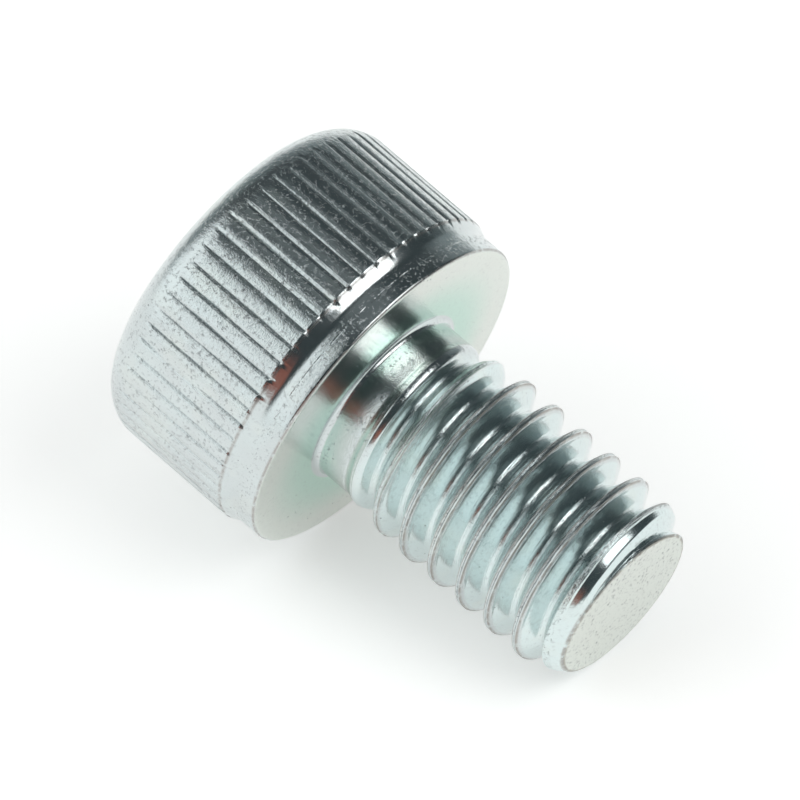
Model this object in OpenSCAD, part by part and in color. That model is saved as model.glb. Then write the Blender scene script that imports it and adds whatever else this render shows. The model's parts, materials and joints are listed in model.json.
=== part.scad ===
// Hexagon socket head cap screw, one solid piece of steel, lying where it comes to rest.
// It is shaped upright: the bearing face under the head is the plane z = 0, the shank runs
// up along +Z to its tip, and the head hangs below. lying() then turns it about the centre
// of the bearing face, so that the tip points to +X and the screw rests on two places:
// the lower edge of the head, and the end of the thread.
// The thread is a cylinder over its crests. All sizes are in millimetres.

/* [Shank] */
// Length from the bearing face to the tip
shank_l = 6; // [5:0.5:25]
// Diameter over the thread crests
thread_d = 3.88; // [3.84:0.02:3.98]
// Diameter of the neck between the head and the thread
neck_d = 3.49; // [3.2:0.01:3.6]
// Length of the neck
neck_l = 0.6; // [0.3:0.01:1.5]
// Length of the slope from the neck up to the thread
run_in_l = 1.3; // [0.5:0.05:1.5]
// Radius of the fillet under the head
fillet_r = 0.22; // [0.1:0.01:0.3]
// Diameter of the flat end of the tip
tip_d = 3.15; // [2.9:0.05:3.4]
// Length over which the thread draws in to the tip
tip_taper_l = 0.9; // [0.5:0.05:1.2]
// How late the taper curves in: 1 is a straight cone, more is a rounder shoulder
tip_taper_power = 2.2; // [1:0.1:3]

/* [Head] */
// Diameter of the head over the knurl
head_d = 7; // [6.8:0.02:7.2]
// Height of the head
head_h = 3.87; // [3.82:0.01:4]
// Radius of the rounded edge at the top of the head
crown_r = 0.8; // [0.4:0.05:1]
// Angle through which that edge turns before it meets the flat top
crown_angle = 64; // [45:1:90]
// Length of the plain band under the knurl, with its step
band_l = 0.8; // [0.6:0.01:1.2]
// How far the plain band is set in from the knurl
band_inset = 0.1; // [0.05:0.005:0.15]
// Length of the slope from the knurl down to the plain band
step_l = 0.25; // [0.1:0.01:0.4]
// Width of the broken edge around the bearing face
rim_break = 0.06; // [0.03:0.01:0.1]

/* [Knurl] */
// Number of grooves around the head
groove_count = 60; // [40:1:72]
// Width of each groove at the surface
groove_w = 0.11; // [0.08:0.01:0.18]
// Depth of each groove
groove_depth = 0.042; // [0.03:0.002:0.06]
// Turn of the first groove away from the side that lies down, in degrees
groove_turn = 5.8; // [0:0.1:6]

/* [Socket] */
// Width of the hexagon across its flats
socket_af = 3; // [2.98:0.01:3.08]
// Depth of the flats
socket_l = 2.05; // [2:0.05:2.2]
// Depth of the cone below the flats
socket_point_l = 0.32; // [0.2:0.02:0.4]
// Width of the bevel around the mouth, beyond the hexagon's corners
mouth_bevel = 0.08; // [0.04:0.01:0.12]
// Turn of a corner away from the side that lies down, in degrees
socket_turn = 12; // [0:1:60]

/* [Hidden] */
zinc = [0.80, 0.83, 0.82];
$fn = 96;
overlap = 0.2;
arc_steps = 12;
bevel_angle = 60;
// Half the angle between two corners of the meshed outline, at the head's lower edge and at
// the end of the thread. Turned by it, the mesh rests on small flats and doesn't roll
head_seam = 3.103;
shank_seam = 4.091;
thread_r = thread_d / 2;
neck_r = neck_d / 2;
head_r = head_d / 2;
band_r = head_r - band_inset;
thread_end_z = shank_l - tip_taper_l;
socket_corner_r = socket_af / 2 / cos(30);
socket_mouth_r = socket_corner_r + mouth_bevel;
mouth_bevel_l = (socket_mouth_r - socket_af / 2) / tan(bevel_angle);

// Points [radius, z] of an arc about a centre, from one angle to another
function arc(centre, radius, from, to) = [
    for (i = [0 : arc_steps])
        let (angle = from + (to - from) * i / arc_steps)
            centre + radius * [cos(angle), sin(angle)]
];

// Points [radius, z] along the taper, from the last full thread to the edge of the tip
taper = [
    for (i = [0 : arc_steps])
        let (t = i / arc_steps)
            [
                thread_r - (thread_r - tip_d / 2) * pow(t, tip_taper_power),
                thread_end_z + t * tip_taper_l
            ]
];

// The floor line leaves the lower edge of the head and touches the first point of the taper
// that it meets, so the screw's axis slopes by the least of these angles
rest_tilt = min([for (p = taper) atan((band_r - p[0]) / (p[1] + rim_break))]);

// Half section of the head: flat top, rounded edge, knurled side, step, plain band, edge
module head_section() {
    crown_centre = [head_r - crown_r, -head_h + crown_r * sin(crown_angle)];
    polygon(concat(
        [[0, -head_h]],
        arc(crown_centre, crown_r, -crown_angle, 0),
        [
            [head_r, -band_l],
            [band_r, -band_l + step_l],
            [band_r, -rim_break],
            [band_r - rim_break, 0],
            [0, 0]
        ]
    ));
}

// Half section of the shank: fillet, neck, slope to the thread, thread crests, taper
module shank_section() {
    fillet_centre = [neck_r + fillet_r, fillet_r];
    polygon(concat(
        [[0, -overlap], [neck_r + fillet_r, -overlap]],
        arc(fillet_centre, fillet_r, 270, 180),
        [[neck_r, neck_l], [thread_r, neck_l + run_in_l]],
        taper,
        [[0, shank_l]]
    ));
}

// One straight V groove of the knurl, as long as the head
module groove() {
    flank = groove_w / 2 / groove_depth;
    reach = groove_depth + overlap;
    translate([head_r - groove_depth, 0, -head_h - overlap])
        linear_extrude(height = head_h - band_l + step_l + overlap)
            polygon([[0, 0], [reach, -flank * reach], [reach, flank * reach]]);
}

// All the grooves, evenly around the head
module knurl() {
    for (i = [0 : groove_count - 1])
        rotate(groove_turn + i * 360 / groove_count)
            groove();
}

// The hexagon socket, with a shallow cone at its bottom and a bevel around its mouth
module socket() {
    translate([0, 0, -head_h - overlap])
        rotate(socket_turn)
            cylinder(h = socket_l + overlap, r = socket_corner_r, $fn = 6);
    translate([0, 0, -head_h + socket_l])
        cylinder(h = socket_point_l, r1 = socket_af / 2, r2 = 0);
    translate([0, 0, -head_h])
        cylinder(h = mouth_bevel_l, r1 = socket_mouth_r, r2 = socket_af / 2);
    translate([0, 0, -head_h - overlap])
        cylinder(h = overlap, r = socket_mouth_r);
}

module head() {
    difference() {
        rotate(head_seam) rotate_extrude() head_section();
        knurl();
        socket();
    }
}

module shank() {
    rotate(shank_seam) rotate_extrude() shank_section();
}

// Turns the upright screw about the centre of its bearing face into its place of rest
module lying() {
    rotate([0, 90 + rest_tilt, 0]) children();
}

module screw() {
    color(zinc)
        lying()
            union() {
                head();
                shank();
            }
}

screw();
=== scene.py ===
"""A hexagon socket head cap screw in bright zinc plate, lying on a pale floor.

The screw is shaped upright, in millimetres: the bearing face under its head is the plane z = 0, the
tip is up and the head hangs below. Two section lines are spun about the axis by a Geometry Nodes tree,
which cuts the knurl and the thread into them, joins them, cuts the socket and lays the screw down in
its place of rest. The finish is worked out in the same upright place, which the mesh carries along.
"""

import json
import math

import bpy
from bpy.props import FloatProperty, FloatVectorProperty, IntProperty, PointerProperty
from mathutils import Matrix, Vector


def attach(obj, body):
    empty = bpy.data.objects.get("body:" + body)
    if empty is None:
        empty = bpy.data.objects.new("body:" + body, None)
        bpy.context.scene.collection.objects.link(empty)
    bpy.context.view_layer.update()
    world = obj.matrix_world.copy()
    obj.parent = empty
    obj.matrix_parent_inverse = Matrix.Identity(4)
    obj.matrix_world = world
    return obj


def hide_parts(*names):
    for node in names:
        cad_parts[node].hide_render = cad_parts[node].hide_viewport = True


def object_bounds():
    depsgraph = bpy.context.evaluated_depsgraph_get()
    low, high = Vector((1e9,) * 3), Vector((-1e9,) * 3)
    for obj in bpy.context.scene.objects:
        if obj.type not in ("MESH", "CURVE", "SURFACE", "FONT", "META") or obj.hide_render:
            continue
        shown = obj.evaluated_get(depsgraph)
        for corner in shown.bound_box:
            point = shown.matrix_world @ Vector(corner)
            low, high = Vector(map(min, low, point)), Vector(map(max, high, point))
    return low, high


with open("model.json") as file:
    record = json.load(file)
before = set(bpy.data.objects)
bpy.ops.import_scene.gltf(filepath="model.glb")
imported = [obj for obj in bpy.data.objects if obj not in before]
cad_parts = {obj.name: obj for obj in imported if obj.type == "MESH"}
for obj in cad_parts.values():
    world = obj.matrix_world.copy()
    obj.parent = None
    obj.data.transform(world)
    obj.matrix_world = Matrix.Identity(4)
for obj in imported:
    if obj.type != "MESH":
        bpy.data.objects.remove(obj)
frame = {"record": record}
CAD_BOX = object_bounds()

bl_info = {
    "name": "Cap screw",
    "version": (1, 0, 0),
    "blender": (4, 5, 0),
    "location": "3D Viewport > Sidebar > Cap Screw",
    "description": "Makes a knurled hexagon socket cap screw and the stage that it lies on",
    "category": "Add Mesh",
}

MM = 0.001
MOUNTS = {mount["name"]: mount for mount in frame["record"]["mounts"]}
BEARING_CENTRE = Vector(MOUNTS["bearing_face"]["pos_m"])
TIP_WAY = Vector(MOUNTS["bearing_face"]["axis"]).normalized()
CREST_RADIUS = MOUNTS["thread"]["dims"]["r_mm"] * MM
HEAD_HEIGHT = (Vector(MOUNTS["hex_socket"]["pos_m"]) - BEARING_CENTRE).length
REST_TILT = math.atan2(-TIP_WAY.z, TIP_WAY.x)
FLOOR_HEIGHT = CAD_BOX[0].z
SLOT = frame["record"]["materials"][0]["slot"]


# ---------------------------------------------------------------------------------------------------------
# Node trees as Python expressions


class Wire:
    """An output socket that takes part in Python expressions. Each operation adds a Math node."""

    def __init__(self, plan, socket):
        self.plan = plan
        self.socket = socket

    def math(self, operation, *terms):
        return self.plan.node("ShaderNodeMath", {"operation": operation}, dict(enumerate(terms)))

    def __add__(self, other):
        return self.math("ADD", self, other)

    def __radd__(self, other):
        return self.math("ADD", other, self)

    def __sub__(self, other):
        return self.math("SUBTRACT", self, other)

    def __rsub__(self, other):
        return self.math("SUBTRACT", other, self)

    def __mul__(self, other):
        return self.math("MULTIPLY", self, other)

    def __rmul__(self, other):
        return self.math("MULTIPLY", other, self)

    def __truediv__(self, other):
        return self.math("DIVIDE", self, other)

    def __rtruediv__(self, other):
        return self.math("DIVIDE", other, self)

    def __pow__(self, other):
        return self.math("POWER", self, other)

    def __abs__(self):
        return self.math("ABSOLUTE", self)

    def floor(self):
        return self.math("FLOOR", self)

    def round(self):
        return self.math("ROUND", self)

    def sine(self):
        return self.math("SINE", self)

    def cosine(self):
        return self.math("COSINE", self)

    def least(self, other):
        return self.math("MINIMUM", self, other)

    def most(self, other):
        return self.math("MAXIMUM", self, other)

    def above(self, other):
        return self.math("GREATER_THAN", self, other)

    def ramp(self, start, end):
        """0 before start and 1 after end, with a smooth rise between; start may be above end."""
        settings = {"interpolation_type": "SMOOTHSTEP"}
        return self.plan.node(
            "ShaderNodeMapRange", settings, {"Value": self, "From Min": start, "From Max": end}
        )

    def near(self, place, reach):
        """1 at a place, falling smoothly to 0 at reach from it."""
        return abs(self - place).ramp(reach, 0.0)


class Plan:
    """A node tree that is being drawn."""

    ROW_LENGTH = 12
    NODE_WIDTH = 200
    NODE_HEIGHT = 260

    def __init__(self, tree):
        self.tree = tree

    def add(self, kind, settings=None):
        """Adds a bare node with its settings."""
        made = self.tree.nodes.new(kind)
        row, place = divmod(len(self.tree.nodes), self.ROW_LENGTH)
        made.location = (place * self.NODE_WIDTH, -row * self.NODE_HEIGHT)
        for name, value in (settings or {}).items():
            setattr(made, name, value)
        return made

    def node(self, kind, settings=None, inputs=None, output=0):
        """Adds a node: its settings first, then its sockets, by name or by place. Returns one output."""
        made = self.add(kind, settings)
        for name, value in (inputs or {}).items():
            self.feed(self.find(made.inputs, name), value)
        return Wire(self, self.find(made.outputs, output))

    @staticmethod
    def find(sockets, name):
        """The socket that is in use under a name, or at a place in the list."""
        live = [socket for socket in sockets if socket.enabled]
        if isinstance(name, int):
            return live[name]
        return next(socket for socket in live if socket.name == name)

    def feed(self, socket, value):
        if isinstance(value, Wire):
            self.tree.links.new(value.socket, socket)
        else:
            socket.default_value = value

    def vector(self, x, y, z):
        return self.node("ShaderNodeCombineXYZ", {}, {"X": x, "Y": y, "Z": z})

    def parts(self, vector):
        """The three numbers of a vector."""
        split = self.node("ShaderNodeSeparateXYZ", {}, {0: vector}).socket.node
        return [Wire(self, socket) for socket in split.outputs]

    def join_vectors(self, operation, *terms, output=0):
        settings = {"operation": operation}
        return self.node("ShaderNodeVectorMath", settings, dict(enumerate(terms)), output)

    def blend(self, share, low, high):
        """A colour between two, by a share from 0 to 1."""
        return self.node("ShaderNodeMix", {"data_type": "RGBA"}, {0: share, 1: low, 2: high})

    def choose(self, index, values):
        """The number at an index, from 0."""
        first = {"Index": index, "0": values[0], "1": values[1]}
        chosen = self.node("GeometryNodeIndexSwitch", {"data_type": "FLOAT"}, first)
        switch = chosen.socket.node
        for value in values[2:]:
            switch.index_switch_items.new()
            self.feed([s for s in switch.inputs if s.enabled and s.type == "VALUE"][-1], value)
        return chosen

    def noise(self, place, scale, detail=2.0, roughness=0.5, stretch=None, output=0):
        """Noise about 0.5, with scale waves to each unit of place."""
        if stretch is not None:
            place = self.join_vectors("MULTIPLY", place, stretch)
        inputs = {"Vector": place, "Scale": scale, "Detail": detail, "Roughness": roughness}
        return self.node("ShaderNodeTexNoise", {}, inputs, output)


# ---------------------------------------------------------------------------------------------------------
# Sizes, finish and studio, as a user would change them


def length(name, description, millimetres):
    return FloatProperty(
        name=name, description=description, default=millimetres * MM, unit="LENGTH", precision=5
    )


def share(name, description, default):
    return FloatProperty(name=name, description=description, default=default, subtype="FACTOR")


def angle(name, description, degrees):
    return FloatProperty(
        name=name, description=description, default=math.radians(degrees), subtype="ANGLE"
    )


def colour(name, description, default):
    return FloatVectorProperty(
        name=name, description=description, default=default, size=4, subtype="COLOR", min=0.0
    )


class ScrewSizes(bpy.types.PropertyGroup):
    """Sizes of the screw."""

    shank_length: length("Shank length", "From the bearing face to the tip", 6.0)
    neck_radius: length("Neck radius", "Radius of the plain neck, which is the wire before rolling", 1.745)
    neck_length: length("Neck length", "From the bearing face to the first trace of thread", 0.60)
    crest_run_in: length("Crest run-in", "Length over which the crests rise to their full height", 1.3)
    root_run_in: length("Root run-in", "Length over which the roots sink to their full depth", 0.55)
    fillet: length("Fillet", "Radius of the fillet between the neck and the bearing face", 0.12)
    tip_radius: length("Tip radius", "Radius of the flat end", 1.575)
    taper: length("Taper", "Length over which the thread draws in to the tip", 0.94)
    cone_start: length("Cone start", "From the tip to where the taper turns into a straight cone", 0.52)
    cone_end: length("Cone end", "From the tip to where that cone ends", 0.18)
    taper_power: FloatProperty(
        name="Taper power", description="How late the taper curves in; 1 is a cone", default=2.2
    )
    pitch: length("Pitch", "Distance from one thread crest to the next", 0.7)
    thread_start: length("Thread start", "Height of a crest on the side that lies down", 0.34)
    crest_dip: length("Crest dip", "Depth of the seam that rolling leaves along the crest", 0.012)
    head_radius: length("Head radius", "Radius of the head over the knurl", 3.5)
    crown_radius: length("Crown radius", "Radius of the rounded edge at the top of the head", 0.812)
    crown_angle: angle("Crown angle", "Turn of that edge before it meets the flat top", 64.0)
    band_length: length("Band length", "Length of the plain band under the knurl, with its step", 0.80)
    band_inset: length("Band inset", "How far the plain band is set in from the knurl", 0.105)
    step: length("Step", "Length of the slope from the knurl to the band", 0.25)
    rim: length("Rim", "Radius of the broken edge around the bearing face", 0.075)
    groove_count: IntProperty(name="Grooves", description="Grooves around the head", default=60, min=12)
    groove_width: length("Groove width", "Width of a knurl groove at the surface", 0.11)
    groove_depth: length("Groove depth", "Depth of a knurl groove", 0.042)
    groove_turn: angle("Groove turn", "Turn of the first groove from the side that lies down", 5.8)
    socket_width: length("Socket width", "Width of the hexagon across its flats", 3.0)
    socket_depth: length("Socket depth", "Depth of the flats", 2.05)
    socket_point: length("Socket point", "Depth of the cone below the flats", 0.32)
    mouth_bevel: length("Mouth bevel", "Width of the bevel beyond the hexagon's corners", 0.08)
    socket_turn: angle("Socket turn", "Turn of a corner from the side that lies down", 12.0)


class ZincFinish(bpy.types.PropertyGroup):
    """The bright zinc plate."""

    plate: colour("Plate", "Colour of the clear zinc plate", (0.62, 0.665, 0.67, 1.0))
    cool: colour("Cool patches", "Colour where the passivation is bluer", (0.695, 0.785, 0.785, 1.0))
    warm: colour("Warm patches", "Colour where the passivation is yellower", (0.745, 0.775, 0.72, 1.0))
    # Painted reflection: a greener, darker tone that stands in for the teal shank mirrored in the bearing
    # face by the neck
    painted_neck_reflection: colour("Mint", "Colour of the bearing face by the neck", (0.48, 0.71, 0.61, 1.0))
    worn: colour("Worn edges", "Colour of the thin, rubbed edges", (0.27, 0.22, 0.19, 1.0))
    pit: colour("Pits", "Colour of the small dark pits", (0.15, 0.16, 0.17, 1.0))
    shine: share("Roughness", "Roughness of the drawn and rolled surfaces", 0.14)
    bearing_roughness: share("Bearing roughness", "Roughness of the bearing face", 0.16)
    tip_roughness: share("Tip roughness", "Roughness of the tip", 0.30)
    grain: length("Grain height", "Height of the fine grain in the plate", 0.0060)


class StudioSetup(bpy.types.PropertyGroup):
    """Camera and light."""

    azimuth: angle("Azimuth", "Camera's turn about the screw; 0 looks along +Y", 41.36)
    elevation: angle("Elevation", "Camera's height above the horizon, as an angle", 42.26)
    distance: length("Distance", "From the camera to the bearing face", 248.3)
    slide_right: length("Slide right", "Camera's place right of the bearing face's centre", 0.311)
    slide_up: length("Slide up", "Camera's place above the bearing face's centre", -0.066)
    focal_length: FloatProperty(name="Focal length", description="Of the lens, in mm", default=615.4)
    key_power: FloatProperty(name="Key power", description="Of the softbox", default=0.45, unit="POWER")
    fill_power: FloatProperty(
        name="Floor power", description="Of the light for the floor", default=1.9, unit="POWER"
    )
    dark: colour("Dark room", "Colour of the room between the cards", (0.045, 0.058, 0.062, 1.0))
    floor_tone: colour("Floor", "Colour of the floor", (0.86, 0.86, 0.85, 1.0))
    floor_glow: share("Floor glow", "Light that comes through the floor from below", 0.45)


# ---------------------------------------------------------------------------------------------------------
# The screw's section lines


def arc(centre, radius, start, end, steps):
    """Points (radius, height) of an arc, from one angle to another in degrees."""
    turns = [math.radians(start + (end - start) * i / steps) for i in range(steps + 1)]
    return [(centre[0] + radius * math.cos(t), centre[1] + radius * math.sin(t)) for t in turns]


def straight(start, end, steps):
    """Points between two others, without the first."""
    return [
        tuple(a + (b - a) * i / steps for a, b in zip(start, end)) for i in range(1, steps + 1)
    ]


TIP_EDGE = 0.02  # height of the rounded edge of the tip, in millimetres


def section_line(name, points, marks):
    """A mesh of loose points, in millimetres, that a Geometry Nodes tree spins about the axis."""
    mesh = bpy.data.meshes.new(name)
    mesh.from_pydata([(radius, 0.0, height) for radius, height in points], [], [])
    mark = mesh.attributes.new("mark", "FLOAT", "POINT")
    mark.data.foreach_set("value", marks)
    line = bpy.data.objects.new(name, mesh)
    bpy.context.scene.collection.objects.link(line)
    return line


def head_line(sizes):
    """Section of the head, from the centre of its top round to the centre of its bearing face.
    Its marked point is the edge where the knurl ends, which is left ragged."""
    radius, top = sizes.head_radius / MM, -HEAD_HEIGHT / MM
    crown, turn = sizes.crown_radius / MM, math.degrees(sizes.crown_angle)
    band = radius - sizes.band_inset / MM
    rim = sizes.rim / MM
    knurl_end = -sizes.band_length / MM
    step_end = knurl_end + sizes.step / MM
    crown_centre = (radius - crown, top + crown * math.sin(sizes.crown_angle))
    flat = radius - crown * (1 - math.cos(sizes.crown_angle))
    lip = 0.03
    points = [(0.0, top), (flat * 0.55, top), (flat - 0.1, top), (flat - 0.03, top)]
    points += arc(crown_centre, crown, -turn, 0.0, 16)
    points += straight(points[-1], (radius, knurl_end - lip), 6)
    edge = len(points)
    points += [(radius, knurl_end)]
    points += straight(points[-1], (band, step_end), 4)
    points += straight(points[-1], (band, -rim * 2), 4)
    points += arc((band - rim, -rim), rim, 0.0, 90.0, 6)
    points += [(band - rim - 0.04, 0.0), (sizes.neck_radius / MM + 0.4, 0.0)]
    points += [(sizes.neck_radius / MM + sizes.fillet / MM + 0.02, 0.0), (0.0, 0.0)]
    marks = [1.0 if place == edge else 0.0 for place in range(len(points))]
    return section_line("head_line", points, marks)


def shank_line(sizes, rows_per_pitch):
    """Section of the shank, from inside the head to the centre of the tip.
    Its marked points follow the thread: they climb by one pitch in one turn, and stop at both ends."""
    neck, fillet = sizes.neck_radius / MM, sizes.fillet / MM
    low, high = sizes.neck_length / MM, sizes.shank_length / MM - TIP_EDGE
    pitch, start = sizes.pitch / MM, sizes.thread_start / MM
    sink = 0.004
    root = -0.3
    inside = [(0.0, root), (neck + fillet, root)]
    inside += arc((neck + fillet, fillet - sink), fillet, 270.0, 180.0, 10)
    inside += straight(inside[-1], (neck, low), 5)
    first = math.floor((low - pitch - start) / pitch * rows_per_pitch)
    last = math.ceil((high - start) / pitch * rows_per_pitch)
    climb = [(0.0, start + row * pitch / rows_per_pitch) for row in range(first, last + 1)]
    tip, flat = sizes.tip_radius / MM, high + TIP_EDGE
    end = [(tip, high), (tip - 0.008, high + 0.014), (tip - 0.025, flat)]
    end += [(tip - 0.08, flat), (tip * 0.5, flat), (0.0, flat)]
    points = inside + climb + end
    marks = [1.0 if 0 <= place - len(inside) < len(climb) else 0.0 for place in range(len(points))]
    return section_line("shank_line", points, marks)


# ---------------------------------------------------------------------------------------------------------
# The Geometry Nodes tree


COLUMNS_PER_GROOVE = 6
SHANK_COLUMNS = 192
ROWS_PER_PITCH = 32
MERGE_REACH = 1e-4
SHARP_ANGLE = math.radians(38.0)


def tree_inputs(sizes):
    """Named inputs of the tree, in millimetres and radians, with their values."""
    lengths = (
        "shank_length", "neck_radius", "neck_length", "crest_run_in", "root_run_in", "tip_radius",
        "taper", "cone_start", "cone_end", "pitch", "thread_start", "crest_dip",
        "head_radius", "groove_width", "groove_depth",
        "socket_width", "socket_depth", "socket_point", "mouth_bevel",
    )
    angles = ("groove_turn", "socket_turn")
    values = {name: getattr(sizes, name) / MM for name in lengths}
    values.update({name: getattr(sizes, name) for name in angles})
    values.update(
        crest_radius=CREST_RADIUS / MM,
        head_height=HEAD_HEIGHT / MM,
        taper_power=sizes.taper_power,
        groove_count=float(sizes.groove_count),
        rest_tilt=REST_TILT,
        sharp_angle=SHARP_ANGLE,
    )
    return values


def socket_name(name):
    """A value's name as the tree shows it."""
    return name.replace("_", " ").capitalize()


def spin(plan, line, columns, shape):
    """Spins a section line about Z. shape takes the column's number and the sampled radius, height and
    mark, and returns the angle, radius and height of each point. Seam and poles are merged."""
    rows = plan.node("GeometryNodeAttributeDomainSize", {}, {"Geometry": line})
    grid = plan.node(
        "GeometryNodeMeshGrid", {}, {"Vertices X": columns + 1, "Vertices Y": rows}
    )
    index = plan.node("GeometryNodeInputIndex")
    column = ((index + 0.5) / rows).floor()
    row = index - column * rows
    place = plan.node("GeometryNodeInputPosition")
    point = plan.node(
        "GeometryNodeSampleIndex", {"data_type": "FLOAT_VECTOR"},
        {"Geometry": line, "Value": place, "Index": row},
    )
    marked = plan.node("GeometryNodeInputNamedAttribute", {"data_type": "FLOAT"}, {"Name": "mark"})
    mark = plan.node(
        "GeometryNodeSampleIndex", {"data_type": "FLOAT"},
        {"Geometry": line, "Value": marked, "Index": row},
    )
    radius, _, height = plan.parts(point)
    turn, radius, height = shape(column, radius, height, mark)
    position = plan.vector(radius * turn.cosine(), radius * turn.sine(), height)
    spun = plan.node("GeometryNodeSetPosition", {}, {"Geometry": grid, "Position": position})
    return plan.node("GeometryNodeMergeByDistance", {}, {"Geometry": spun, "Distance": MERGE_REACH})


def head_solid(plan, line, size):
    """The head, with straight V grooves. Each groove has its own few columns, placed across the V."""
    half = size["groove_width"] / 2
    groove_angle = 2 * math.pi / size["groove_count"]
    edge = half / (groove_angle * size["head_radius"])
    inner, outer = edge * 0.85, edge * 1.2
    places = (0.0, inner, outer, 0.5, 1 - outer, 1 - inner)

    def shape(column, radius, height, mark):
        groove = (column / COLUMNS_PER_GROOVE).floor()
        around_head = groove + plan.choose(column - groove * COLUMNS_PER_GROOVE, places)
        turn = around_head * groove_angle + size["groove_turn"]
        nearest = around_head.round()
        offset = abs(around_head - nearest) * groove_angle * size["head_radius"]
        whole_turns = (nearest / size["groove_count"] + 0.001).floor()
        nearest = nearest - whole_turns * size["groove_count"]
        around = plan.vector(turn.cosine() * radius, turn.sine() * radius, height)
        each = plan.vector(nearest * 0.37, height * 0.5, 0.0)
        uneven = (plan.noise(each, 3.0, 1.0) - 0.5) * 2.2 + (plan.noise(around, 4.0, 2.0) - 0.5)
        depth = size["groove_depth"] * (0.9 + uneven).most(0.25).least(1.3)
        cut = size["head_radius"] - depth * (1 - offset / half).most(0.0)
        ragged = plan.noise(around, 9.0, 3.0) - 0.5
        return turn, radius.least(cut), height + mark * ragged * 0.09

    return spin(plan, line, size["groove_count"] * COLUMNS_PER_GROOVE, shape)


def thread_radius(plan, size, from_crest):
    """Radius of a rolled 60 degree thread, at a distance along the axis from the nearest crest."""
    pitch = size["pitch"]
    slope = math.sqrt(3.0)
    crest_half = pitch / 16
    root_radius = pitch * 0.1443
    fundamental = pitch * (slope / 2)
    flank = size["crest_radius"] - (from_crest - crest_half) * slope
    bottom = size["crest_radius"] - fundamental * (17 / 24)
    from_root = (pitch / 2 - from_crest).least(root_radius * 0.99)
    hollow = bottom + root_radius - (root_radius**2 - from_root**2) ** 0.5
    tangent = pitch / 2 - root_radius * (slope / 2)
    in_root = from_crest.above(tangent)
    below_crest = flank.least(size["crest_radius"])
    seam = size["crest_dip"] * (1 - from_crest / (crest_half * 0.75)).most(0.0)
    return below_crest * (1 - in_root) + hollow * in_root - seam


def shank_solid(plan, line, size):
    """The shank. Its marked rows follow a right-hand thread, which grows out of the neck, follows the
    taper and never cuts into the flat end."""
    low, high = size["neck_length"], size["shank_length"] - TIP_EDGE
    neck, crest, tip = size["neck_radius"], size["crest_radius"], size["tip_radius"]

    def shape(column, radius, height, mark):
        turn = column * (2 * math.pi / SHANK_COLUMNS)
        climb = size["pitch"] * column / SHANK_COLUMNS
        winding = (height + climb).most(low).least(high)
        place = height * (1 - mark) + winding * mark
        phase = (place - climb - size["thread_start"]) / size["pitch"]
        from_crest = abs(phase - phase.round()) * size["pitch"]
        thread = thread_radius(plan, size, from_crest)
        rise = ((place - low) / size["crest_run_in"]).least(1.0)
        sink = place.ramp(low + 0.05, low + size["root_run_in"])
        rolled = neck + (thread - neck).most(0.0) * rise + (thread - neck).least(0.0) * sink

        def tapered(to_tip):
            """Radius of the taper at a distance from the tip."""
            along = (1 - to_tip / size["taper"]).most(0.0)
            return crest - (crest - tip) * along ** size["taper_power"]

        to_tip = (size["shank_length"] - place).most(0.0)
        first, last = tapered(size["cone_start"]), tapered(size["cone_end"])
        cone_length = size["cone_start"] - size["cone_end"]
        cone = first + (last - first) * (size["cone_start"] - to_tip) / cone_length
        envelope = tapered(to_tip).least(cone)
        least = tip * place.ramp(high - 0.25, high - 0.12)
        worked = envelope - (envelope - rolled.most(least)).most(0.0)
        return turn, radius * (1 - mark) + worked * mark, place

    return spin(plan, line, SHANK_COLUMNS, shape)


def socket_cutter(plan, size):
    """What is cut out of the head: a hexagon, the cone below it and the bevel around its mouth."""
    top = 0 - size["head_height"]
    reach = 0.5
    corner = size["socket_width"] / (2 * math.cos(math.pi / 6))
    hexagon = plan.node(
        "GeometryNodeMeshCylinder", {},
        {"Vertices": 6, "Radius": corner, "Depth": size["socket_depth"] + reach},
    )
    middle = top + (size["socket_depth"] - reach) / 2
    hexagon = plan.node(
        "GeometryNodeTransform", {},
        {"Geometry": hexagon, "Translation": plan.vector(0, 0, middle),
         "Rotation": plan.vector(0, 0, size["socket_turn"])},
    )
    point = plan.node(
        "GeometryNodeMeshCone", {},
        {"Vertices": 64, "Radius Top": 0.0, "Radius Bottom": size["socket_width"] / 2 - 0.005,
         "Depth": size["socket_point"]},
    )
    point = plan.node(
        "GeometryNodeTransform", {},
        {"Geometry": point, "Translation": plan.vector(0, 0, top + size["socket_depth"] - 0.002)},
    )
    mouth = corner + size["mouth_bevel"]
    bevel_slope = math.tan(math.radians(60.0))
    bevel_reach = 0.2
    bevel_depth = mouth / bevel_slope + bevel_reach
    bevel = plan.node(
        "GeometryNodeMeshCone", {},
        {"Vertices": 96, "Radius Top": 0.0, "Radius Bottom": mouth + bevel_reach * bevel_slope,
         "Depth": bevel_depth},
    )
    bevel = plan.node(
        "GeometryNodeTransform", {},
        {"Geometry": bevel, "Translation": plan.vector(0, 0, top - bevel_reach)},
    )
    both = boolean(plan, "UNION", hexagon, point)
    return boolean(plan, "UNION", both, bevel)


def boolean(plan, operation, first, second):
    """Joins two closed solids, or cuts the second out of the first."""
    made = plan.add("GeometryNodeMeshBoolean", {"operation": operation, "solver": "MANIFOLD"})
    names = ("Mesh", "Mesh") if operation == "UNION" else ("Mesh 1", "Mesh 2")
    for name, solid in zip(names, (first, second)):
        plan.feed(plan.find(made.inputs, name), solid)
    return Wire(plan, plan.find(made.outputs, 0))


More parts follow.
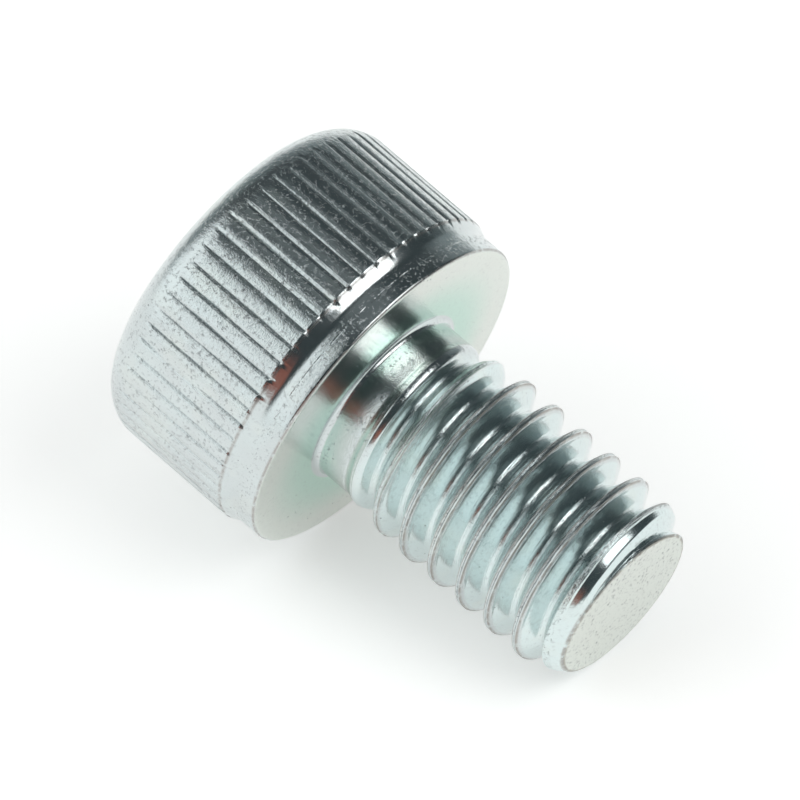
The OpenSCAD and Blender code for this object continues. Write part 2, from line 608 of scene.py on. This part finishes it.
def screw_tree(values, finish):
    """Draws the whole tree: head and shank joined, socket cut, laid down, scaled to metres."""
    tree = bpy.data.node_groups.new("Cap screw", "GeometryNodeTree")
    interface = tree.interface
    interface.new_socket("Geometry", in_out="INPUT", socket_type="NodeSocketGeometry")
    for name in ("Head line", "Shank line"):
        interface.new_socket(name, in_out="INPUT", socket_type="NodeSocketObject")
    for name in values:
        interface.new_socket(socket_name(name), in_out="INPUT", socket_type="NodeSocketFloat")
    interface.new_socket("Geometry", in_out="OUTPUT", socket_type="NodeSocketGeometry")
    plan = Plan(tree)
    entry = tree.nodes.new("NodeGroupInput")
    size = {name: Wire(plan, entry.outputs[socket_name(name)]) for name in values}
    lines = [
        plan.node("GeometryNodeObjectInfo", {}, {"Object": Wire(plan, entry.outputs[name])}, "Geometry")
        for name in ("Head line", "Shank line")
    ]
    head = head_solid(plan, lines[0], size)
    shank = shank_solid(plan, lines[1], size)
    joined = boolean(plan, "UNION", head, shank)
    upright = boolean(plan, "DIFFERENCE", joined, socket_cutter(plan, size))
    upright = plan.node(
        "GeometryNodeMergeByDistance", {}, {"Geometry": upright, "Distance": MERGE_REACH}
    )
    place = plan.node("GeometryNodeInputPosition")
    marked = plan.node(
        "GeometryNodeStoreNamedAttribute", {"data_type": "FLOAT_VECTOR", "domain": "POINT"},
        {"Geometry": upright, "Name": "upright_place", "Value": place},
    )
    smooth = plan.node("GeometryNodeSetShadeSmooth", {"domain": "FACE"}, {"Geometry": marked})
    bend = plan.node("GeometryNodeInputMeshEdgeAngle")
    sharp = plan.node(
        "FunctionNodeCompare", {"data_type": "FLOAT", "operation": "GREATER_THAN"},
        {"A": bend, "B": size["sharp_angle"]},
    )
    edged = plan.node(
        "GeometryNodeSetShadeSmooth", {"domain": "EDGE"},
        {"Geometry": smooth, "Selection": sharp, "Shade Smooth": False},
    )
    lying = plan.node(
        "GeometryNodeTransform", {},
        {"Geometry": edged, "Translation": tuple(BEARING_CENTRE),
         "Rotation": plan.vector(0, size["rest_tilt"] + math.pi / 2, 0), "Scale": (MM, MM, MM)},
    )
    real = plan.node("GeometryNodeRealizeInstances", {}, {"Geometry": lying})
    dressed = plan.node("GeometryNodeSetMaterial", {}, {"Geometry": real, "Material": finish})
    exit_node = tree.nodes.new("NodeGroupOutput")
    tree.links.new(dressed.socket, exit_node.inputs[0])
    return tree


def made_by_tree(name, tree, values):
    """Runs a tree on a bare object and returns its result as a plain mesh object."""
    source = bpy.data.objects.new(name + "_source", bpy.data.meshes.new(name + "_source"))
    bpy.context.scene.collection.objects.link(source)
    modifier = source.modifiers.new(name, "NODES")
    modifier.node_group = tree
    sockets = [item for item in tree.interface.items_tree if item.in_out == "INPUT"]
    for item in sockets:
        if item.name in values:
            modifier[item.identifier] = values[item.name]
    bpy.context.view_layer.update()
    graph = bpy.context.evaluated_depsgraph_get()
    mesh = bpy.data.meshes.new_from_object(
        source.evaluated_get(graph), preserve_all_data_layers=True, depsgraph=graph
    )
    source.modifiers.remove(modifier)
    bpy.data.objects.remove(source)
    uses = [0] * len(mesh.edges)
    for loop in mesh.loops:
        uses[loop.edge_index] += 1
    if not uses or any(use != 2 for use in uses):
        raise RuntimeError(f"{name} is not one closed surface")
    mesh.name = name
    piece = bpy.data.objects.new(name, mesh)
    bpy.context.scene.collection.objects.link(piece)
    return piece


# ---------------------------------------------------------------------------------------------------------
# The finish


def zinc_finish(finish, sizes):
    """Bright clear zinc plate: grainy on the knurl, the band and along the thread's crests, smoother on
    the flanks, satin on the tip and the top, with tinted patches, flecks, pits and worn edges, and a
    painted reflection of the teal shank on the bearing face by the neck. Places are in millimetres,
    upright; what begins with on_ or in_ is 1 there and 0 elsewhere."""
    material = bpy.data.materials.new(SLOT)
    material.use_nodes = True
    plan = Plan(material.node_tree)
    shader = material.node_tree.nodes["Principled BSDF"]
    shader.inputs["Metallic"].default_value = 1.0

    # Where a point lies on the screw
    place = plan.node("ShaderNodeAttribute", {"attribute_name": "upright_place"}, output="Vector")
    x, y, height = plan.parts(place)
    radius = (x * x + y * y) ** 0.5
    turn = plan.node("ShaderNodeMath", {"operation": "ARCTAN2"}, {0: y, 1: x})
    pitch = sizes.pitch / MM
    phase = (height - turn * (pitch / (2 * math.pi)) - sizes.thread_start / MM) / pitch
    along_flank = (phase - phase.round()) * pitch
    from_crest = abs(along_flank)

    crest = CREST_RADIUS / MM
    tip_height, tip_radius = sizes.shank_length / MM, sizes.tip_radius / MM
    head_radius = sizes.head_radius / MM
    band = head_radius - sizes.band_inset / MM
    knurl_end = -sizes.band_length / MM
    top_height = -HEAD_HEIGHT / MM

    on_tip = height.ramp(tip_height - 0.02, tip_height - 0.004)
    on_bearing = height.near(0.0, 0.02) * radius.ramp(1.86, 1.9)
    on_top = height.ramp(top_height + 0.03, top_height + 0.005)
    on_face = on_bearing.most(on_tip)
    on_knurl = height.ramp(knurl_end + 0.02, knurl_end - 0.03)
    on_knurl = on_knurl * radius.ramp(head_radius - 0.5, head_radius - 0.1)
    in_groove = on_knurl * height.ramp(-3.4, -3.3) * radius.ramp(head_radius - 0.004, head_radius - 0.02)
    on_thread = height.ramp(0.75, 1.1) * (1 - on_tip)
    on_flank = on_thread * radius.ramp(crest - 0.06, crest - 0.12)
    on_crest = on_thread * radius.ramp(crest - 0.12, crest - 0.06)
    on_rear = on_thread * along_flank.ramp(0.02, -0.02) * along_flank.ramp(-0.22, -0.13)
    on_root = on_thread * from_crest.ramp(0.24, 0.30)
    on_neck = height.ramp(0.02, 0.06) * height.ramp(1.0, 0.8)
    on_band = height.near(-0.27, 0.3) * radius.ramp(band - 0.1, band - 0.03)

    # Tinted patches, and a painted reflection of the shank on the bearing face
    mottle = plan.noise(place, 2.2, 3.0, 0.6)
    cool = plan.noise(place, 0.9, 2.0, 0.5).ramp(0.45, 0.65)
    warm = plan.noise(place, 1.3, 2.0, 0.5, output="Color")
    warm = plan.node("ShaderNodeSeparateColor", {}, {0: warm}).ramp(0.5, 0.66)
    tone = plan.blend((cool * 0.25).most(on_flank * 0.95), tuple(finish.plate), tuple(finish.cool))
    tone = plan.blend((warm * 0.2).most(on_face * 0.85), tone, tuple(finish.warm))
    # Painted reflection of the teal shank in the bearing face: darker and greener towards the neck
    neck_reflection_share = on_bearing * radius.ramp(3.1, 2.0) * 0.8
    tone = plan.blend(neck_reflection_share, tone, tuple(finish.painted_neck_reflection))

    # Grain, streaks that follow the thread, and lines that follow the axis
    coarse = plan.noise(place, 5.0, 3.0, 0.6)
    medium = plan.noise(place, 13.0, 4.0, 0.7)
    fine = plan.noise(place, 34.0, 2.0, 0.6)
    streak_place = plan.vector(x * 1.6, y * 1.6, height * 1.6 + along_flank * 34.0)
    streaks = plan.noise(streak_place, 1.0, 3.0, 0.6)
    axial = plan.noise(place, 1.0, 2.0, 0.6, stretch=(17.0, 17.0, 1.3))

    # Flecks and pits
    flecked = 0.24 + on_knurl * 0.26 + on_rear * 0.3 + on_tip * 0.8 + on_neck * 0.3
    flecks = medium.ramp(0.53, 0.70) * flecked * mottle.ramp(0.25, 0.6)
    tone = plan.blend(flecks, tone, tuple(finish.pit))
    cells = plan.node("ShaderNodeTexVoronoi", {"feature": "F1"}, {"Vector": place, "Scale": 7.0})
    pit_size = plan.noise(place, 1.9, 2.0).ramp(0.45, 0.72) * 0.14
    pits = cells.ramp(0.04 + pit_size, 0.01 + pit_size * 0.5)
    tone = plan.blend(pits * 0.7, tone, tuple(finish.pit))

    # Thin, dull lines along the edges
    crest_edge = from_crest.near(0.05, 0.03) * on_thread * radius.ramp(crest - 0.09, crest - 0.04)
    rim_edge = height.near(-0.02, 0.05) * radius.ramp(band - 0.06, band - 0.01)
    tip_edge = height.ramp(tip_height - 0.07, tip_height - 0.03)
    tip_edge = tip_edge * radius.ramp(tip_radius - 0.06, tip_radius - 0.01)
    knurl_edge = height.near(knurl_end + 0.03, 0.05) * radius.ramp(band - 0.05, band)
    wear = coarse.ramp(0.25, 0.55) * (0.55 + medium * 0.6)
    worn = (crest_edge * 0.8).most(rim_edge * 0.8).most(tip_edge * 0.75).most(knurl_edge * 0.6) * wear
    tone = plan.blend(worn, tone, tuple(finish.worn))

    roughness = finish.shine + on_knurl * 0.03 + coarse * 0.05 + worn * 0.25 + pits * 0.25 + flecks * 0.15
    roughness = roughness + on_bearing * (finish.bearing_roughness - finish.shine)
    roughness = roughness + on_tip.most(on_top) * (finish.tip_roughness - finish.shine)

    # Relief: grain, streaks, the turned line around the band and the seam along the crests
    band_line = height.near(-0.33, 0.018) * coarse.ramp(0.4, 0.6) * radius.ramp(band - 0.05, band - 0.01)
    seams = from_crest.near(0.0, 0.012) * on_crest
    specks = medium.ramp(0.56, 0.66)
    finely = 0.10 + on_knurl * 0.42 + on_rear * 0.5 + on_root * 0.4 + on_neck * 0.22 + on_tip * 0.5
    evenly = 0.18 + on_knurl * 0.50 + in_groove * 1.3 + on_rear * 1.2 + on_root * 0.4
    speckled = on_knurl * 0.45 + on_rear * 1.0 + on_neck * 0.15 + on_band * 0.7
    coarsely = 0.40 + on_knurl * 0.8 - on_neck * 0.3
    streaked = on_thread * (0.12 + on_rear * 3.2 + on_crest * 2.2 + on_root * 2.2)
    relief = fine * finely + medium * evenly + medium * on_band * 0.7 + specks * speckled
    relief = relief + coarse * coarsely + streaks * streaked + axial * on_knurl * 0.45
    relief = relief - band_line * 1.5 - seams * 1.2
    bump = plan.node(
        "ShaderNodeBump", {}, {"Strength": 1.0, "Distance": finish.grain, "Height": relief}, "Normal"
    )
    plan.feed(shader.inputs["Base Color"], tone)
    plan.feed(shader.inputs["Roughness"], roughness)
    plan.feed(shader.inputs["Normal"], bump)
    return material


# ---------------------------------------------------------------------------------------------------------
# The stage


# Each card around the screw: middle azimuth from +X towards +Y, half width, lowest and highest edge above
# the horizon and softness of its edges, all in degrees, and its brightness.
SURROUND = (
    (0.0, 181.0, 74.0, 95.0, 6.0, (0.16, 0.18, 0.185, 1.0)),
    (150.0, 50.0, -5.0, 64.0, 9.0, (0.07, 0.08, 0.085, 1.0)),
    (138.0, 56.0, -10.0, 26.0, 12.0, (0.24, 0.275, 0.28, 1.0)),
    (14.0, 17.0, 20.0, 46.0, 6.0, (0.62, 0.66, 0.66, 1.0)),
    (-131.0, 38.0, -12.0, 59.0, 9.0, (1.15, 1.20, 1.20, 1.0)),
    (-62.0, 14.0, 0.0, 20.0, 5.0, (0.32, 0.12, 0.09, 1.0)),
    (0.0, 181.0, -95.0, 0.0, 7.0, (0.60, 0.64, 0.63, 1.0)),
)


def floor_finish(tone, glow):
    """Matt paper, lit a little from below."""
    material = bpy.data.materials.new("paper")
    material.use_nodes = True
    shader = material.node_tree.nodes["Principled BSDF"]
    shader.inputs["Base Color"].default_value = tone
    shader.inputs["Roughness"].default_value = 0.9
    shader.inputs["Specular IOR Level"].default_value = 0.1
    shader.inputs["Emission Color"].default_value = tone
    shader.inputs["Emission Strength"].default_value = glow
    return material


def make_floor(tone, glow):
    """A large flat square under the screw."""
    reach = 2.0
    mesh = bpy.data.meshes.new("floor")
    corners = [(-reach, -reach), (reach, -reach), (reach, reach), (-reach, reach)]
    mesh.from_pydata([(x, y, FLOOR_HEIGHT) for x, y in corners], [], [(0, 1, 2, 3)])
    mesh.materials.append(floor_finish(tone, glow))
    floor = bpy.data.objects.new("floor", mesh)
    bpy.context.scene.collection.objects.link(floor)


def direction(azimuth, elevation):
    """Unit vector at an angle from +X towards +Y and above the horizon, in degrees."""
    turn, rise = math.radians(azimuth), math.radians(elevation)
    return Vector((math.cos(turn) * math.cos(rise), math.sin(turn) * math.cos(rise), math.sin(rise)))


def add_softbox(name, way, power, distance, width, height, in_reflections=True):
    """A rectangular light that faces the screw, at a distance from it in the given direction."""
    light = bpy.data.lights.new(name, "AREA")
    light.shape = "RECTANGLE"
    light.size = width
    light.size_y = height
    light.energy = power
    box = bpy.data.objects.new(name, light)
    box.visible_glossy = in_reflections
    box.location = BEARING_CENTRE + way * distance
    box.rotation_mode = "QUATERNION"
    box.rotation_quaternion = way.to_track_quat("Z", "Y")
    bpy.context.scene.collection.objects.link(box)


def make_surround(studio):
    """A dark room with pale cards, each a patch of directions, given by SURROUND."""
    world = bpy.data.worlds.new("studio")
    world.use_nodes = True
    bpy.context.scene.world = world
    plan = Plan(world.node_tree)
    way = plan.node("ShaderNodeTexCoord", {}, {}, "Generated")
    x, y, z = plan.parts(way)
    rise = plan.node("ShaderNodeMath", {"operation": "ARCSINE"}, {0: z}) * (180 / math.pi)
    tone = tuple(studio.dark)
    for azimuth, half_width, low, high, soft, card in SURROUND:
        middle = math.radians(azimuth)
        ahead = x * math.cos(middle) + y * math.sin(middle)
        across = y * math.cos(middle) - x * math.sin(middle)
        off = abs(plan.node("ShaderNodeMath", {"operation": "ARCTAN2"}, {0: across, 1: ahead}))
        off = off * (180 / math.pi)
        inside = off.ramp(half_width + soft, half_width - soft) * rise.ramp(low - soft, low + soft)
        inside = inside * rise.ramp(high + soft, high - soft)
        tone = plan.blend(inside, tone, card)
    plan.feed(world.node_tree.nodes["Background"].inputs["Color"], tone)


def make_camera(studio):
    """Looks at the screw from the front right and above. It isn't rolled."""
    turn, rise = studio.azimuth, studio.elevation
    back = Vector((math.sin(turn) * math.cos(rise), -math.cos(turn) * math.cos(rise), math.sin(rise)))
    right = Vector((math.cos(turn), math.sin(turn), 0.0))
    up = back.cross(right)
    data = bpy.data.cameras.new("camera")
    data.lens = studio.focal_length
    data.clip_start = 0.01
    data.clip_end = 10.0
    camera = bpy.data.objects.new("camera", data)
    spot = back * studio.distance + right * studio.slide_right + up * studio.slide_up
    axes = Matrix((right, up, back)).transposed().to_4x4()
    camera.matrix_world = Matrix.Translation(BEARING_CENTRE + spot) @ axes
    bpy.context.scene.collection.objects.link(camera)
    bpy.context.scene.camera = camera


# ---------------------------------------------------------------------------------------------------------
# Operators, panel and registration


class SCREW_OT_make_screw(bpy.types.Operator):
    """Make the screw and give it its zinc finish"""

    bl_idname = "screw.make_screw"
    bl_label = "Make screw"

    def execute(self, context):
        sizes = context.scene.screw_sizes
        finish = zinc_finish(context.scene.zinc_finish, sizes)
        values = tree_inputs(sizes)
        tree = screw_tree(values, finish)
        lines = [head_line(sizes), shank_line(sizes, ROWS_PER_PITCH)]
        named = {socket_name(name): value for name, value in values.items()}
        named.update({"Head line": lines[0], "Shank line": lines[1]})
        screw = made_by_tree("cap_screw", tree, named)
        for line in lines:
            bpy.data.objects.remove(line)
        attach(screw, "root")
        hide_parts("screw")
        return {"FINISHED"}


class SCREW_OT_set_stage(bpy.types.Operator):
    """Lay the floor, hang the lights and place the camera"""

    bl_idname = "screw.set_stage"
    bl_label = "Set stage"

    def execute(self, context):
        studio = context.scene.studio_setup
        context.scene.view_settings.view_transform = "Standard"
        make_camera(studio)
        make_floor(studio.floor_tone, studio.floor_glow)
        make_surround(studio)
        key_way, overhead = direction(16.0, 51.0), direction(0.0, 90.0)
        add_softbox("key", key_way, studio.key_power, distance=0.4, width=0.323, height=0.2)
        add_softbox(
            "floor light", overhead, studio.fill_power, distance=0.5, width=1.0, height=1.0,
            in_reflections=False,
        )
        return {"FINISHED"}


class SCREW_PT_panel(bpy.types.Panel):
    """Lists the sizes, the finish, the studio and the steps"""

    bl_idname = "SCREW_PT_panel"
    bl_label = "Cap Screw"
    bl_space_type = "VIEW_3D"
    bl_region_type = "UI"
    bl_category = "Cap Screw"

    def draw(self, context):
        for group in (context.scene.screw_sizes, context.scene.zinc_finish, context.scene.studio_setup):
            column = self.layout.column()
            for name in group.__annotations__:
                column.prop(group, name)
        for step in STEPS:
            self.layout.operator(step.bl_idname)


GROUPS = {"screw_sizes": ScrewSizes, "zinc_finish": ZincFinish, "studio_setup": StudioSetup}
STEPS = (SCREW_OT_make_screw, SCREW_OT_set_stage)


def register():
    for item in (*GROUPS.values(), *STEPS, SCREW_PT_panel):
        bpy.utils.register_class(item)
    for name, group in GROUPS.items():
        setattr(bpy.types.Scene, name, PointerProperty(type=group))


def unregister():
    for name in GROUPS:
        delattr(bpy.types.Scene, name)
    for item in reversed((*GROUPS.values(), *STEPS, SCREW_PT_panel)):
        bpy.utils.unregister_class(item)


def main():
    register()
    bpy.ops.screw.make_screw()
    bpy.ops.screw.set_stage()


if __name__ == "__main__":
    main()
